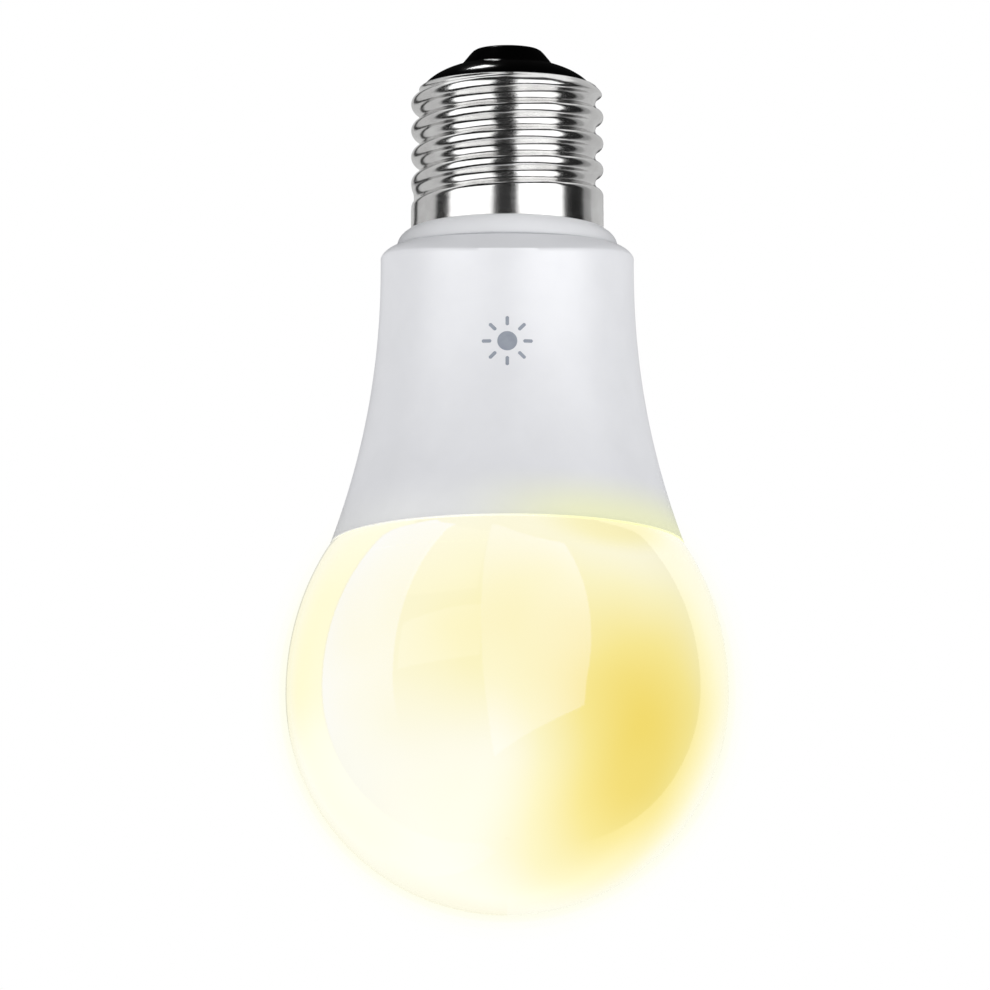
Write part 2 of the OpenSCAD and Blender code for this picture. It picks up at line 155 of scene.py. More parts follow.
def board_finish(name, mask, trace):
    """Solder mask over copper: straight tracks show as slightly raised, lighter lines."""
    f = Finish(name, Coat_Weight=0.3, Coat_Roughness=0.12)
    point = f.place()
    tracks = f.node("ShaderNodeTexBrick", {
        "Vector": f.node("ShaderNodeMapping", {"Vector": point, "Rotation": (math.radians(90), 0, 0)}
                         ).outputs[0],
        "Scale": 1, "Mortar Size": 0.12, "Mortar Smooth": 0.3, "Brick Width": 3.1,
        "Row Height": 1.3, "Color1": (0, 0, 0, 1), "Color2": (0, 0, 0, 1), "Mortar": (1, 1, 1, 1),
    }, offset=0.5).outputs["Color"]
    wander = f.noise(2.5)
    base = f.ramp(wander, [(0.3, [c * 0.8 for c in mask[:3]] + [1]), (0.7, mask)])
    f.drive("Base Color", f.mix(tracks, base, trace))
    f.drive("Roughness", f.span(wander, 0.3, 0.45))
    f.drive("Normal", f.relief(f.math("ADD", f.math("MULTIPLY", f.noise(0.15), 0.2), tracks), 0.03))
    return f


def wound_finish(name, dark, light, pitch, rough, **sockets):
    """Turns of wire or tape: fine rings stacked along Z."""
    f = Finish(name, **sockets)
    turns = f.node("ShaderNodeTexWave", {
        "Vector": f.place((1, 1, 1 / pitch)), "Scale": 1 / 3.2, "Distortion": 0.4,
        "Detail": 1, "Detail Scale": 0.6,
    }, bands_direction="Z", wave_profile="SIN").outputs["Fac"]
    # painted shade: the colour darkens into the grooves between turns, where the relief is low
    f.drive("Base Color", f.ramp(turns, [(0.0, dark), (0.6, light)]))
    f.drive("Roughness", f.span(f.noise(1.5), rough[0], rough[1], 0.3, 0.7))
    f.drive("Normal", f.relief(turns, 0.12))
    return f


def nickel_finish(name):
    """Polished plate with faint rolling lines round the cap, speckle and a few dull patches."""
    f = Finish(name, Metallic=1.0)
    lines = f.noise(1.2, stretch=(0.15, 0.15, 9), detail=6, rough=0.6)
    speckle = f.noise(0.09, detail=2, rough=0.7)
    dull = f.noise(5, detail=3)
    f.drive("Base Color", f.ramp(dull, [(0.3, srgb(214, 213, 212)), (0.7, srgb(233, 233, 232))]))
    f.drive("Roughness", f.math("ADD", f.span(speckle, 0.1, 0.2, 0.35, 0.75),
                                f.span(lines, 0.0, 0.06, 0.3, 0.7)))
    f.drive("Normal", f.relief(speckle, 0.0022, normal=f.relief(lines, 0.0025)))
    return f


def housing_finish(name, glow_from, glow_to):
    """Satin white moulding with a fine spark-eroded texture. Near the joint the globe's glow is painted
    in:
    a painted yellow tint in the base colour, most of it on the front right, and a painted emission,
    warmer on the right."""
    f = Finish(name, Specular_IOR_Level=0.6)
    wander = f.noise(9, detail=3)
    fine = f.noise(0.16, detail=3, rough=0.7)
    white = f.ramp(wander, [(0.35, srgb(232, 233, 237)), (0.65, srgb(236, 237, 241))])
    near = f.span(f.node("ShaderNodeSeparateXYZ", {0: f.place()}).outputs["Z"], 0, 1,
                  glow_from, glow_to, smooth=True)
    across = f.node("ShaderNodeSeparateXYZ", {0: f.place()}).outputs["X"]
    side = f.span(across, 0.04, 1.0, -9, 12, smooth=True)
    # painted glow from the globe: a yellow tint in the base colour near the joint, stronger on the right
    painted_glow_tint = f.math("MULTIPLY", near, side)
    painted_glow_emission = f.math("MULTIPLY", near, f.span(across, 0.0, 1.0, -22, -13, smooth=True))
    f.drive("Base Color", f.mix(painted_glow_tint, white, srgb(240, 242, 200)))
    # painted glow from the globe: a faint emission near the joint, neutral on the left and yellow on the
    # right
    f.drive("Emission Color", f.mix(painted_glow_emission, (0, 0, 0, 1),
                                    f.mix(side, (0.085, 0.085, 0.082, 1), (0.09, 0.092, 0.062, 1))))
    f.shader.inputs["Emission Strength"].default_value = 1.0
    f.drive("Roughness", f.span(fine, 0.36, 0.46, 0.3, 0.7))
    f.drive("Normal", f.relief(fine, 0.004))
    return f


def diffuser_finish(name, centre):
    """Milky glossy plastic lit from inside: cream above, nearly white below, with a warm amber
    pool on the front right."""
    f = Finish(name, Specular_IOR_Level=0.0, Coat_Weight=1.0, Coat_Roughness=0.05, Coat_IOR=1.5)
    f.drive("Base Color", f.ramp(f.noise(12, detail=2),
                                 [(0.3, srgb(196, 190, 168)), (0.7, srgb(202, 197, 176))]))
    f.drive("Roughness", f.span(f.noise(3, detail=3), 0.3, 0.4, 0.3, 0.7))
    f.drive("Normal", f.relief(f.noise(7, detail=1), 0.012))
    height = f.node("ShaderNodeSeparateXYZ", {0: f.place(at=centre)}).outputs["Z"]
    level = f.math("ADD", f.span(height, 0.93, 0.84, -15, -1, smooth=True),
                   f.span(height, 0.0, 0.03, 4, 20))

    def spot(azimuth, rise, size, full):
        """From 0 to 1 inside an ellipsoid that meets the globe's wall at an azimuth and a height."""
        way = math.radians(azimuth)
        at = (centre[0] + 30 * math.sin(way), centre[1] - 30 * math.cos(way), centre[2] + rise)
        near = f.node("ShaderNodeTexGradient", {
            "Vector": f.place([1 / c for c in size], (0, 0, -way), at),
        }, gradient_type="SPHERICAL").outputs["Fac"]
        return f.span(near, 0, 1, 0.0, full, smooth=True)

    cloud = f.span(f.noise(14, detail=1), -0.015, 0.015, 0.3, 0.7)
    warm = f.math("MULTIPLY", spot(6, 4, (22, 30, 18), 0.92), 0.1)
    joint = f.math("MULTIPLY", spot(36, 20, (13, 30, 5), 0.7), 0.12)
    pool = f.math("MULTIPLY", spot(40.5, -14, (22, 36, 32), 0.92), 0.445)
    pale = f.math("MULTIPLY", spot(-70, -9, (24, 30, 22), 0.9), 0.045)
    for shade in (warm, joint, pool):
        level = f.math("SUBTRACT", level, shade)
    level = f.math("ADD", level, f.math("ADD", pale, cloud))
    f.drive("Emission Color", f.ramp(level, [
        (0.42, srgb(241, 216, 100)), (0.59, srgb(247, 231, 146)), (0.78, srgb(251, 244, 197)),
        (0.93, srgb(254, 252, 238)), (1.0, srgb(255, 255, 250)),
    ]))
    f.shader.inputs["Emission Strength"].default_value = 1.04
    f.material.cycles.emission_sampling = "NONE"
    return f


# ---- meshes ------------------------------------------------------------------------------

def arc_corners(outline, radius, closed=True, steps=4, least=18):
    """The outline with each corner that turns by more than least degrees rounded to radius mm."""
    made, count = [], len(outline)
    for i, here in enumerate(outline):
        if not closed and i in (0, count - 1):
            made.append(here)
            continue
        p, a, b = Vector(here), Vector(outline[i - 1]), Vector(outline[(i + 1) % count])
        u, v = (a - p), (b - p)
        if u.length < 1e-6 or v.length < 1e-6 or here[0] < 1e-6:
            made.append(here)
            continue
        turn = math.pi - u.angle(v)
        if turn < math.radians(least):
            made.append(here)
            continue
        cut = min(radius * math.tan(turn / 2), 0.45 * u.length, 0.45 * v.length)
        start, end = p + u.normalized() * cut, p + v.normalized() * cut
        for s in range(steps + 1):
            t = s / steps
            q = start * (1 - t) ** 2 + p * 2 * t * (1 - t) + end * t ** 2
            made.append((q.x, q.y))
    return made


def finish_mesh(name, bm, crease=35):
    """A mesh object from bm, smooth except where its faces turn by more than crease degrees."""
    bmesh.ops.recalc_face_normals(bm, faces=bm.faces)
    mesh = bpy.data.meshes.new(name)
    bm.to_mesh(mesh)
    bm.free()
    mesh.shade_smooth()
    mesh.set_sharp_from_angle(angle=math.radians(crease))
    piece = bpy.data.objects.new(name, mesh)
    bpy.context.scene.collection.objects.link(piece)
    return piece


def lathe(name, outline, sides=192, crease=35):
    """A closed body of revolution about Z. Each outline point is (radius, height) in mm, and both
    may be functions of the angle from +X in degrees."""
    bm = bmesh.new()
    rings = []
    for r, z in outline:
        if not callable(r) and r < 1e-6:
            rings.append([bm.verts.new((0, 0, z * MM))])
            continue
        ring = []
        for s in range(sides):
            a = 360 * s / sides
            out, up = (v(a) if callable(v) else v for v in (r, z))
            way = Vector((math.cos(math.radians(a)), math.sin(math.radians(a)), 0))
            ring.append(bm.verts.new((way * out + Vector((0, 0, up))) * MM))
        rings.append(ring)
    for low, high in zip(rings, rings[1:] + rings[:1]):
        if len(low) == len(high) == 1:
            continue
        for s in range(sides):
            e = (s + 1) % sides
            corners = [low[s % len(low)], low[e % len(low)], high[e % len(high)], high[s % len(high)]]
            bm.faces.new(list(dict.fromkeys(corners)))
    return finish_mesh(name, bm, crease)


def stand_for(piece, node, finish):
    """piece takes the place of a CAD node, which it hides, and wears the finish's material."""
    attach(piece, "root")
    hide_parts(node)
    piece.data.materials.append(finish.material)
    return piece


# ---- the screw cap -----------------------------------------------------------------------

CAP_R, SHELL_H, BAND_H = 13.05, 19.8, 2.7
PITCH, DEPTH, CREST_Z = 3.629, 1.1, 8.4
RUNOUT = (150, 220)
CURL_Z, CURL_DROP = 17.6, 1.2
THREAD_R = CAP_R - 0.02
THREAD_ARC = DEPTH / 4 + PITCH ** 2 / (16 * DEPTH)


def smooth(t):
    t = min(1, max(0, t))
    return t * t * (3 - 2 * t)


def thread_dip(u):
    """How far the rolled thread lies below its crest, u mm along the axis from the crest."""
    if u < PITCH / 4:
        return THREAD_ARC - math.sqrt(THREAD_ARC ** 2 - u * u)
    return DEPTH - THREAD_ARC + math.sqrt(THREAD_ARC ** 2 - (PITCH / 2 - u) ** 2)


def shell_r(angle, z):
    """Radius of the threaded stretch, which runs out above the band and curls in at the top."""
    turn = (z - CREST_Z) / PITCH - angle / 360
    groove = math.floor(turn) + 2
    fade = smooth((360 * groove + angle - RUNOUT[0]) / (RUNOUT[1] - RUNOUT[0]))
    u = PITCH * abs(turn - round(turn))
    curl = CURL_DROP * max(0, (z - CURL_Z) / (SHELL_H - CURL_Z)) ** 3
    threaded = min(THREAD_R - fade * thread_dip(u), THREAD_R - curl)
    return CAP_R + (threaded - CAP_R) * smooth((z - BAND_H + 0.15) / 0.5)


def screw_shell():
    lip, rows = 0.25, 176
    bore_r, mouth_r, step_z = 10.6, 11.6, 18.8
    start = BAND_H - 0.2
    outline = [(mouth_r, 0.0), (CAP_R - 0.12, 0.0), (CAP_R - 0.03, 0.04), (CAP_R, 0.14),
               (CAP_R, 0.9), (CAP_R, 1.8)]
    for k in range(rows + 1):
        z = start + (SHELL_H - lip - start) * k / rows
        outline.append((lambda a, z=z: shell_r(a, z), z))
    top = SHELL_H - lip
    for inward, z in ((0.05, top + 0.12), (0.16, top + 0.21), (0.32, SHELL_H)):
        outline.append((lambda a, inward=inward: shell_r(a, top) - inward, z))
    outline += [(bore_r + 0.15, SHELL_H), (bore_r + 0.02, SHELL_H - 0.06), (bore_r, SHELL_H - 0.2),
                (bore_r, step_z), (mouth_r, step_z - 0.1)]
    return lathe("screw_cap_shell", outline, sides=288, crease=40)


def cap_insulator():
    dome_z, dome_r, dome_rise = 18.2, 12.0, 5.35
    first = math.asin((SHELL_H - dome_z) / dome_rise)
    last = math.acos(6.3 / dome_r)
    dome = [(dome_r * math.cos(first + (last - first) * i / 24),
             dome_z + dome_rise * math.sin(first + (last - first) * i / 24)) for i in range(25)]
    below = [(1.55, 17.6), (10.5, 17.6), (10.5, SHELL_H - 0.02), (10.6, SHELL_H + 0.01),
             (dome[0][0] - 0.25, SHELL_H + 0.01)] + dome[1:]
    nub = [dome[-1], (5.0, 24.35), (4.65, 24.7), (4.3, 24.9), (3.2, 24.9), (3.2, 24.5), (1.55, 24.5)]
    outline = arc_corners(below, 0.15, closed=False) + arc_corners(nub, 0.15, closed=False, least=8)[1:]
    return lathe("cap_insulator_glass", outline, crease=25)


def centre_contact():
    """Soldered rivet: a flat disc with a shallow solder dome in its middle."""
    outline = [(0, 18.6), (1.5, 18.6), (1.5, 24.5), (3.15, 24.5), (3.15, 24.8), (3.1, 24.88),
               (2.9, 24.92), (1.5, 24.93), (1.2, 24.97), (0.6, 24.99), (0, 25.0)]
    return lathe("centre_contact_rivet", outline, sides=96)


# ---- the body ----------------------------------------------------------------------------

SHOULDER_R, JOINT_R, FLARE = 17.15, 24.0, 2.1
SHOULDER_Z, JOINT_Z = -4.8, -43.2


def housing_r(z):
    t = max(0, (SHOULDER_Z - z) / (SHOULDER_Z - JOINT_Z))
    return SHOULDER_R + (JOINT_R - SHOULDER_R) * t ** FLARE


def saddle(side, front):
    """A height that is side at the left and right, and dips to front at the front and back."""
    return lambda a: side + (front - side) * math.sin(math.radians(a)) ** 2


def between(top, bottom, share):
    return lambda a: top(a) + (bottom(a) - top(a)) * share


def housing():
    wall, seat_r, steps, top_inner = 1.4, 21.7, 72, -5.4
    opening_r, lip_r, rim_r = 14.5, 15.08, 15.15
    shoulder_steps, side_power = 10, 1.5
    rim, shoulder = saddle(-2.4, -3.05), saddle(-3.9, -5.4)
    foot = saddle(JOINT_Z + 0.35, JOINT_Z + 0.35)
    # inside edge of the opening, just clear of the collar
    outline = [(opening_r, top_inner), (opening_r, lambda a: min(-3.45, rim(a) - 0.65)),
               (lip_r, lambda a: min(-2.9, rim(a) - 0.1))]
    # shoulder: a superellipse, which is rounded at the sides and a plain slope in front
    for k in range(shoulder_steps):
        across = math.sin(math.pi / 2 * k / shoulder_steps)
        rounded = 1 - (1 - across ** side_power) ** (1 / side_power)
        share = saddle(rounded, across)
        r = rim_r + (SHOULDER_R - rim_r) * across
        outline.append((r, lambda a, share=share: between(rim, shoulder, share(a))(a)))
    for i in range(steps + 1):
        height = between(shoulder, foot, i / steps)
        outline.append((lambda a, height=height: housing_r(height(a)), height))
    outline += [(JOINT_R - 0.03, JOINT_Z + 0.18), (JOINT_R - 0.12, JOINT_Z + 0.06),
                (JOINT_R - 0.28, JOINT_Z + 0.01)]
    outline += [(min(housing_r(z) - wall, seat_r), z)
                for z in (JOINT_Z + (top_inner - JOINT_Z) * i / 24 for i in range(25))]
    return lathe("housing_body", outline, sides=224)


GLOBE_R, GLOBE_RISE, GLOBE_WALL = 30.0, 34.0, 1.5
GLOBE_Z = JOINT_Z - GLOBE_RISE * math.sqrt(1 - (JOINT_R / GLOBE_R) ** 2)


def globe_curve(inset, steps):
    """From the joint down to the lowest point: half an ellipse, then a sphere."""
    top = math.asin((JOINT_Z - GLOBE_Z) / (GLOBE_RISE - inset))
    angles = [top * (1 - i / steps) for i in range(steps + 1)]
    angles += [-math.pi / 2 * i / (2 * steps) for i in range(1, 2 * steps + 1)]
    return [((GLOBE_R - inset) * math.cos(a) if a > -1.57 else 0.0,
             GLOBE_Z + ((GLOBE_RISE if a > 0 else GLOBE_R) - inset) * math.sin(a)) for a in angles]


def globe():
    skirt_r, skirt_top = 21.6, JOINT_Z + 2.2
    outer = globe_curve(0, 28)
    inner = globe_curve(GLOBE_WALL, 20)
    rim = [(JOINT_R - 0.3, JOINT_Z), (JOINT_R - 0.1, JOINT_Z - 0.04), (JOINT_R + 0.06, JOINT_Z - 0.18)]
    outline = [(skirt_r, skirt_top), (skirt_r, JOINT_Z)] + rim + outer[2:]
    outline += inner[::-1] + [(skirt_r - GLOBE_WALL, JOINT_Z), (skirt_r - GLOBE_WALL, skirt_top)]
    return lathe("globe_diffuser", outline, sides=224, crease=50)


def printed_mark():
    """A plain brightness symbol, a disc with eight rays, as a thin print on the housing's front."""
    proud, sunk, middle = 0.02, 0.03, -18.3
    bm = bmesh.new()

    def on_front(x, z, lift):
        r = housing_r(middle + z) + lift
        return (x * MM, -math.sqrt(r * r - x * x) * MM, (middle + z) * MM)

    def patch(rows):
        """A closed sheet through rows of (x, z) points, each row as long as the next."""
        top = [[bm.verts.new(on_front(x, z, proud)) for x, z in row] for row in rows]
        back = [[bm.verts.new(on_front(x, z, -sunk)) for x, z in row] for row in rows]
        m, n = len(rows), len(rows[0])
        for i in range(m - 1):
            for j in range(n - 1):
                bm.faces.new([top[i][j], top[i + 1][j], top[i + 1][j + 1], top[i][j + 1]])
                bm.faces.new([back[i][j], back[i][j + 1], back[i + 1][j + 1], back[i + 1][j]])
        edge = [(i, 0) for i in range(m)] + [(m - 1, j) for j in range(1, n)]
        edge += [(i, n - 1) for i in range(m - 2, -1, -1)] + [(0, j) for j in range(n - 2, 0, -1)]
        for (i, j), (k, l) in zip(edge, edge[1:] + edge[:1]):
            bm.faces.new([top[i][j], back[i][j], back[k][l], top[k][l]])

    # the disc, mapped from a square so that its sheet is an even grid
    size, cells = 1.35, 12
    patch([[(size * u * math.sqrt(1 - v * v / 2), size * v * math.sqrt(1 - u * u / 2))
            for u in (2 * j / cells - 1 for j in range(cells + 1))]
           for v in (2 * i / cells - 1 for i in range(cells + 1))])
    # the rays, with rounded ends
    near, far, half = 2.15, 3.45, 0.24
    for k in range(8):
        a = math.pi * k / 4
        rows = []
        for i in range(13):
            along = i / 12
            end = abs(2 * along - 1)
            width = half * math.sqrt(max(0.04, 1 - max(0, (end - 0.7) / 0.3) ** 2))
            d = near + (far - near) * along
            rows.append([(d * math.cos(a) - w * width * math.sin(a),
                          d * math.sin(a) + w * width * math.cos(a)) for w in (-1, 0, 1)])
        patch(rows)
    return finish_mesh("brightness_mark", bm, crease=60)


nickel = nickel_finish("nickel_plate")
contact = plain_finish("contact_metal", srgb(176, 172, 164), srgb(214, 211, 204), (0.22, 0.4),
                       patch=1.2, grain=0.15, Metallic=1.0)
glass = plain_finish("black_insulator", (0.008, 0.008, 0.009, 1), (0.014, 0.014, 0.015, 1),
                     (0.09, 0.15), patch=4, grain=0.6, depth=0.004)
collar_white = plain_finish("collar_plastic", srgb(232, 233, 236), srgb(237, 238, 241), (0.36, 0.46),
                            patch=7, grain=0.18)
housing_white = housing_finish("housing_plastic", -35.5, JOINT_Z)
milky = diffuser_finish("diffuser", (0, 0, GLOBE_Z))
ink = plain_finish("mark_ink", srgb(138, 145, 158), srgb(152, 159, 171), (0.4, 0.5), patch=1.5,
                   grain=0.12)

shell = stand_for(screw_shell(), "screw_shell", nickel)
rivet = stand_for(centre_contact(), "centre_contact", contact)
plug = stand_for(cap_insulator(), "cap_insulator", glass)
body = stand_for(housing(), "housing", housing_white)
bulb = stand_for(globe(), "globe", milky)
mark = printed_mark()
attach(mark, "root")
mark.data.materials.append(ink.material)

# ---- the parts inside, which keep their CAD shape ----------------------------------------

finishes = {
    "collar_plastic": collar_white,
    "aluminium_liner": plain_finish("aluminium_liner", srgb(196, 198, 200), srgb(214, 216, 218),
                                    (0.3, 0.45), stretch=(0.3, 0.3, 5), Metallic=1.0),
    "thermal_pad": plain_finish("thermal_pad", srgb(178, 180, 186), srgb(200, 202, 206), (0.7, 0.85)),
    "white_solder_mask": board_finish("white_solder_mask", srgb(236, 236, 232), srgb(250, 250, 247)),
    "led_phosphor": plain_finish("led_phosphor", srgb(238, 206, 92), srgb(250, 228, 130), (0.3, 0.5),
                                 patch=0.8, grain=0.08, depth=0.01),
    "screw_steel": plain_finish("screw_steel", srgb(168, 169, 172), srgb(204, 205, 208), (0.25, 0.4),
                                patch=0.8, Metallic=1.0),
    "white_silicone": plain_finish("white_silicone", srgb(230, 230, 226), srgb(242, 242, 238),
                                   (0.45, 0.6), patch=2, grain=0.8, depth=0.05),
    "green_board": board_finish("green_board", srgb(22, 92, 54), srgb(46, 126, 76)),
    "capacitor_sleeve": plain_finish("capacitor_sleeve", srgb(24, 28, 38), srgb(36, 41, 54),
                                     (0.22, 0.36), patch=2, grain=0.5, depth=0.01),
    "film_capacitor_case": plain_finish("film_capacitor_case", srgb(196, 150, 42), srgb(218, 174, 64),
                                        (0.3, 0.45)),
    "ferrite": plain_finish("ferrite", srgb(54, 54, 58), srgb(78, 78, 82), (0.55, 0.75), patch=0.9,
                            grain=0.1, depth=0.02),
    "copper_wire": wound_finish("copper_wire", srgb(98, 44, 22), srgb(206, 118, 70), 0.35,
                                (0.2, 0.35), Metallic=1.0),
    "winding_tape": wound_finish("winding_tape", srgb(206, 168, 40), srgb(240, 206, 84), 2.2,
                                 (0.25, 0.4)),
    "black_moulding": plain_finish("black_moulding", srgb(28, 28, 30), srgb(42, 42, 45), (0.45, 0.65),
                                   patch=2, grain=0.1, depth=0.01),
    "resistor_coating": plain_finish("resistor_coating", srgb(70, 128, 168), srgb(96, 152, 190),
                                     (0.35, 0.5), patch=1.5),
    "surface_part": plain_finish("surface_part", srgb(156, 124, 84), srgb(196, 164, 120), (0.4, 0.6),
                                 patch=0.7, grain=0.08),
    "shield_tin": plain_finish("shield_tin", srgb(190, 190, 192), srgb(216, 216, 218), (0.2, 0.36),
                               patch=2.5, Metallic=1.0),
    "antenna_ceramic": plain_finish("antenna_ceramic", srgb(224, 222, 214), srgb(238, 236, 228),
                                    (0.4, 0.55), patch=1),
    "red_insulation": plain_finish("red_insulation", srgb(150, 26, 22), srgb(184, 40, 34),
                                   (0.35, 0.5), patch=1.5),
    "blue_insulation": plain_finish("blue_insulation", srgb(30, 58, 140), srgb(44, 78, 172),
                                    (0.35, 0.5), patch=1.5),
}
for part in frame["record"]["subparts"]:
    kept = nodes[part["node"]]
    if kept.hide_render:
        continue
    kept.data.materials.clear()
    kept.data.materials.append(finishes[part["material_slot"]].material)
    kept.data.shade_smooth()
    kept.data.set_sharp_from_angle(angle=math.radians(30))
    weld = kept.modifiers.new("weld", "WELD")
    weld.merge_threshold = 0.002 * MM
    flat = kept.modifiers.new("flat_faces", "DECIMATE")
    flat.decimate_type, flat.angle_limit = "DISSOLVE", math.radians(1)
    soft = kept.modifiers.new("soft_edges", "BEVEL")
    soft.width, soft.segments, soft.limit_method = 0.08 * MM, 2, "ANGLE"
    soft.angle_limit, soft.harden_normals = math.radians(35), True


# ---- studio ------------------------------------------------------------------------------

def direction(azimuth, elevation):
    """Unit vector from the bulb: azimuth 0 is the front, 90 the right, elevation is upwards."""
    a, e = math.radians(azimuth), math.radians(elevation)
    return Vector((math.sin(a) * math.cos(e), -math.cos(a) * math.cos(e), math.sin(e)))


def group(name, *members):
    made = bpy.data.collections.new(name)
    for o in members:
        made.objects.link(o)
    return made


def light_panel(name, outline, strength, receivers, distance, fade=None, along="Z", diffuse=False,
                glossy=True, colour=(1, 1, 1, 1)):
    """A soft light panel on a sphere round the bulb. outline is rows of (azimuth, elevation), each
    row as long as the next. fade is the two angles from the sphere's middle, elevations for along
    Z and sideways for along X, between which the light comes up to full."""
    bm = bmesh.new()
    rows = [[bm.verts.new(direction(*p) * distance) for p in row] for row in outline]
    for low, high in zip(rows, rows[1:]):
        for j in range(len(low) - 1):
            bm.faces.new([low[j], low[j + 1], high[j + 1], high[j]])
    panel = finish_mesh(name, bm, crease=180)
    panel.location = (0, 0, GLOBE_Z * MM)
    panel.visible_camera = panel.visible_shadow = panel.visible_transmission = False
    panel.visible_diffuse, panel.visible_glossy = diffuse, glossy
    panel.light_linking.receiver_collection = receivers
    material = bpy.data.materials.new(name)
    material.use_nodes = True
    tree = material.node_tree
    tree.nodes.clear()
    out = tree.nodes.new("ShaderNodeOutputMaterial")
    glow = tree.nodes.new("ShaderNodeEmission")
    clear = tree.nodes.new("ShaderNodeBsdfTransparent")
    both = tree.nodes.new("ShaderNodeAddShader")
    glow.inputs["Color"].default_value = colour
    glow.inputs["Strength"].default_value = strength
    if fade:
        point = tree.nodes.new("ShaderNodeTexCoord")
        parts = tree.nodes.new("ShaderNodeSeparateXYZ")
        rise = tree.nodes.new("ShaderNodeMapRange")
        rise.interpolation_type = "SMOOTHSTEP"
        for socket, value in (("From Min", math.sin(math.radians(fade[0])) * distance),
                              ("From Max", math.sin(math.radians(fade[1])) * distance),
                              ("To Min", 0.0), ("To Max", strength)):
            rise.inputs[socket].default_value = value
        tree.links.new(point.outputs["Object"], parts.inputs[0])
        tree.links.new(parts.outputs[along], rise.inputs["Value"])
        tree.links.new(rise.outputs["Result"], glow.inputs["Strength"])
    tree.links.new(glow.outputs[0], both.inputs[0])
    tree.links.new(clear.outputs[0], both.inputs[1])
    tree.links.new(both.outputs[0], out.inputs["Surface"])
    panel.data.materials.append(material)
    return panel


def window(azimuths, elevations, steps=12):
    """Rows of an even grid between a left and a right azimuth, which may be functions of the
    elevation, and a low and a high elevation, which may be functions of the share of the way
    across."""
    def at(edge, place):
        return edge(place) if callable(edge) else edge

    rows = [[] for _ in range(steps + 1)]
    for i, row in enumerate(rows):
        for j in range(steps + 1):
            low, high = (at(edge, j / steps) for edge in elevations)
            elevation = low + (high - low) * i / steps
            left, right = (at(edge, elevation) for edge in azimuths)
            row.append((left + (right - left) * j / steps, elevation))
    return rows


def slope(start, end):
    """A straight edge between two elevations, as a function of the share of the way across."""
    return lambda across: start + (end - start) * across


def lean(elevation):
    """Azimuth of the tall window's left edge, which leans left by 1 degree in 12."""
    return -12 - elevation / 12


def bulge(elevation):
    """Azimuth of the tall window's right edge, which is drawn in below the bulge."""
    widest, drawn_in, bulge_from = 48, 7, 45
    return widest - drawn_in * min(1, max(0, 1 - elevation / bulge_from)) ** 1.5


inside = [nodes[p["node"]] for p in frame["record"]["subparts"] if not nodes[p["node"]].hide_render]
body_group = group("lit_body", body, mark, *[o for o in inside if o != nodes["driver_cup"]])
collar_group = group("lit_collar", nodes["driver_cup"])
metal_group = group("lit_metal", shell, rivet)
insulator_group = group("lit_insulator", plug)
globe_group = group("lit_globe", bulb)

light_panel("panel_front_left", window((-76, -14), (-32, 26)), 3.2, body_group, 1.1)
light_panel("panel_front_right", window((8, 76), (-32, 26)), 4.0, body_group, 1.1)
light_panel("panel_back_left", window((-158, -99), (-50, 45)), 0.65, body_group, 1.1)
light_panel("panel_back_right", window((106, 168), (-50, 45)), 0.5, body_group, 1.1)

# the metal sees bright boxes left and right, with dark gaps in front and behind, and between the
# boxes beside it and those over and under it
light_panel("metal_front_left", window((-74, -17), (-23, 41)), 1.6, metal_group, 1.3)
light_panel("metal_front_right", window((12, 71), (-27, 48)), 1.6, metal_group, 1.3)
light_panel("metal_side_left", window((-137, -95), (-50, 48)), 0.6, metal_group, 1.3)
light_panel("metal_back_left", window((-180, -149), (-50, 48)), 0.6, metal_group, 1.3)
light_panel("metal_side_right", window((104, 170), (-50, 48)), 0.35, metal_group, 1.3)
light_panel("metal_back_right", window((120, 170), (-50, 48)), 0.25, metal_group, 1.25)
light_panel("metal_over_left", window((-155, -25), (73, 88)), 1.1, metal_group, 1.3)
light_panel("metal_over_right", window((22, 155), (69, 88)), 1.1, metal_group, 1.3)
light_panel("metal_high_left", window((-160, -96), (48, 73)), 1.1, metal_group, 1.3)
light_panel("metal_high_right", window((96, 160), (48, 69)), 1.1, metal_group, 1.3)
light_panel("metal_below_left", window((-160, -22), (-88, -53)), 1.1, metal_group, 1.3)
light_panel("metal_below_right", window((18, 160), (-88, -46)), 1.1, metal_group, 1.3)
light_panel("insulator_glint", window((-168, -151), (56, 65)), 12.0, insulator_group, 1.4)

light_panel("soft_dome", window((-180, 180), (-89, 89), 24), 0.6, body_group, 2.2, diffuse=True,
            glossy=False)
light_panel("soft_low_dome", window((-180, 180), (-89, 89), 24), 0.53, body_group, 2.1, diffuse=True,
            glossy=False, fade=(25, -25))
light_panel("soft_collar", window((-180, 180), (-89, 89), 24), 0.52, collar_group, 2.3, diffuse=True,
            glossy=False)
light_panel("soft_collar_front", window((-45, 80), (-70, 85), 24), 0.48, collar_group, 2.35, diffuse=True,
            glossy=False)
light_panel("soft_right", window((10, 110), (-60, 50)), 0.12, body_group, 2.0, diffuse=True,
            glossy=False)

light_panel("globe_window_left", window((-111, -61), (-24, 68)), 3.0, globe_group, 1.0,
            fade=(-22, 8), colour=(0.15, 0.25, 1, 1))

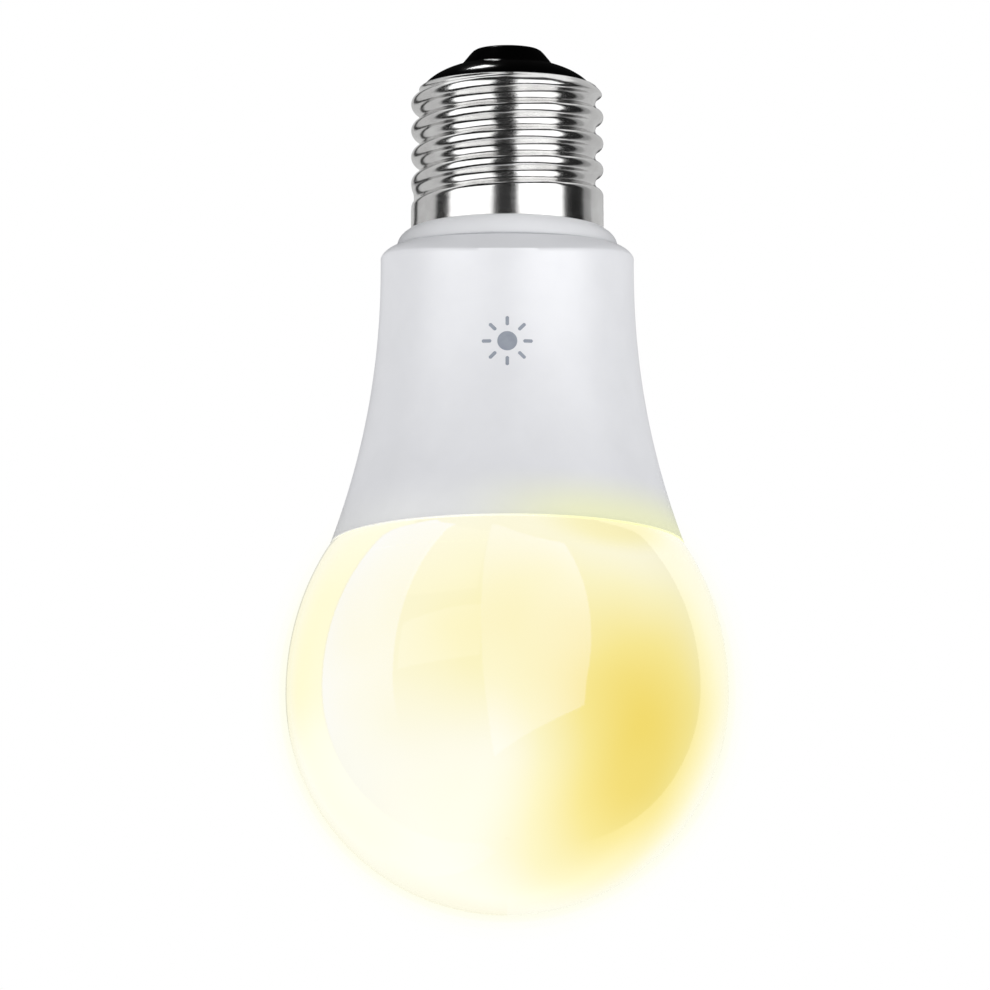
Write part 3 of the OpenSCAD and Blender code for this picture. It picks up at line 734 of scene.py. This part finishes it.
# a tall window that leans left as it rises, with a slanting foot and head
tall_window = window((lean, bulge), (slope(-42, -13), slope(72, 57)))
light_panel("globe_window_front", tall_window, 1.6, globe_group, 1.0, colour=(0.3, 0.35, 1, 1))
light_panel("globe_window_edge", tall_window, 2.0, globe_group, 0.98, fade=(2, 40), along="X",
            colour=(0.2, 0.3, 1, 1))
light_panel("globe_middle_pane", window(
    (-58, -14), (slope(6, 10), lambda across: 23 + 8 * math.sin(math.pi / 2 * across))
), 0.9, globe_group, 1.0, colour=(0.5, 0.55, 1, 1))
light_panel("globe_upper_pane", window((-63, -18), (slope(33, 38), 66)), 0.4, globe_group, 1.0)
light_panel("globe_back_right", window((119, 180), (-80, 60)), 0.95, globe_group, 1.0, fade=(-75, -35))
warm = (1, 0.98, 0.9, 1)
light_panel("globe_side_left", window((205, 248), (-80, 60)), 0.92, globe_group, 1.0,
            fade=(-75, -35), colour=(1, 0.96, 0.3, 1))
light_panel("globe_side_blue", window((205, 247), (-80, 60)), 0.6, globe_group, 0.97,
            fade=(-53, -24), along="X", colour=(0, 0.05, 1, 1))
light_panel("globe_back_left", window((193, 205), (-80, 60)), 0.92, globe_group, 1.0,
            fade=(-75, -35), colour=warm)
light_panel("globe_back_low", window((180, 193), (-80, 8)), 0.92, globe_group, 1.0,
            fade=(-75, -35), colour=warm)
light_panel("globe_back_high", window((180, 193), (26, 60)), 0.92, globe_group, 1.0, colour=warm)
light_panel("globe_limb", window((180, 193), (8, 26)), 0.6, globe_group, 1.0)
light_panel("globe_bounce", window((-180, 180), (-89, -15)), 0.75, globe_group, 0.95, fade=(-25, -75))

# the lit globe's soft halo: nested clear balls that only take out a little blue, per mm of path
for i, (radius, loss) in enumerate(((31.0, 0.0056), (32.0, 0.0024), (33.5, 0.0009))):
    bm = bmesh.new()
    bmesh.ops.create_icosphere(bm, subdivisions=6, radius=radius * MM)
    halo = finish_mesh(f"halo_{i + 1}", bm, crease=180)
    halo.location = (0, 0, GLOBE_Z * MM)
    haze = bpy.data.materials.new(f"halo_{i + 1}")
    haze.use_nodes = True
    haze.node_tree.nodes.clear()
    air = haze.node_tree.nodes.new("ShaderNodeVolumeAbsorption")
    air.inputs["Color"].default_value = (1, 0.97, 0, 1)
    air.inputs["Density"].default_value = loss / MM
    out = haze.node_tree.nodes.new("ShaderNodeOutputMaterial")
    haze.node_tree.links.new(air.outputs[0], out.inputs["Volume"])
    halo.data.materials.append(haze)

world = bpy.data.worlds.new("studio")
bpy.context.scene.world = world
world.use_nodes = True
sky = world.node_tree
background = next(n for n in sky.nodes if n.type == "BACKGROUND")
seen = sky.nodes.new("ShaderNodeLightPath")
level = sky.nodes.new("ShaderNodeMapRange")
level.inputs["To Min"].default_value = 0.01     # what lights the bulb
level.inputs["To Max"].default_value = 1.0      # what the camera sees
sky.links.new(seen.outputs["Is Camera Ray"], level.inputs["Value"])
sky.links.new(level.outputs["Result"], background.inputs["Strength"])
background.inputs["Color"].default_value = (1, 1, 1, 1)

# plain pale floor, far below the hanging bulb
bm = bmesh.new()
bmesh.ops.create_grid(bm, x_segments=8, y_segments=8, size=40)
floor = finish_mesh("floor", bm)
floor.location = (0, 0, -7.5)
floor.visible_diffuse = floor.visible_glossy = False
pale = bpy.data.materials.new("pale_floor")
pale.use_nodes = True
pale_shader = next(n for n in pale.node_tree.nodes if n.type == "BSDF_PRINCIPLED")
pale_shader.inputs["Base Color"].default_value = (0.9, 0.9, 0.9, 1)
pale_shader.inputs["Emission Color"].default_value = (1, 1, 1, 1)
pale_shader.inputs["Emission Strength"].default_value = 0.9
floor.data.materials.append(pale)

# camera: far in front of the bulb and below it, looking up by TILT degrees with a long lens, and
# seeing SEEN_WIDTH metres across at the target
LENS, SENSOR, SEEN_WIDTH, TILT = 1500, 36, 0.13405, 10
camera_data = bpy.data.cameras.new("camera")
camera_data.lens, camera_data.sensor_width = LENS, SENSOR
camera_data.clip_end = 100
camera = bpy.data.objects.new("camera", camera_data)
bpy.context.scene.collection.objects.link(camera)
target = Vector((-0.00166, 0, -0.0363))
away = direction(0, -TILT)
camera.location = target + away * (SEEN_WIDTH * LENS / SENSOR)
camera.rotation_mode = "QUATERNION"
camera.rotation_quaternion = (-away).to_track_quat("-Z", "Y")
bpy.context.scene.camera = camera
bpy.context.scene.view_settings.view_transform = "Standard"
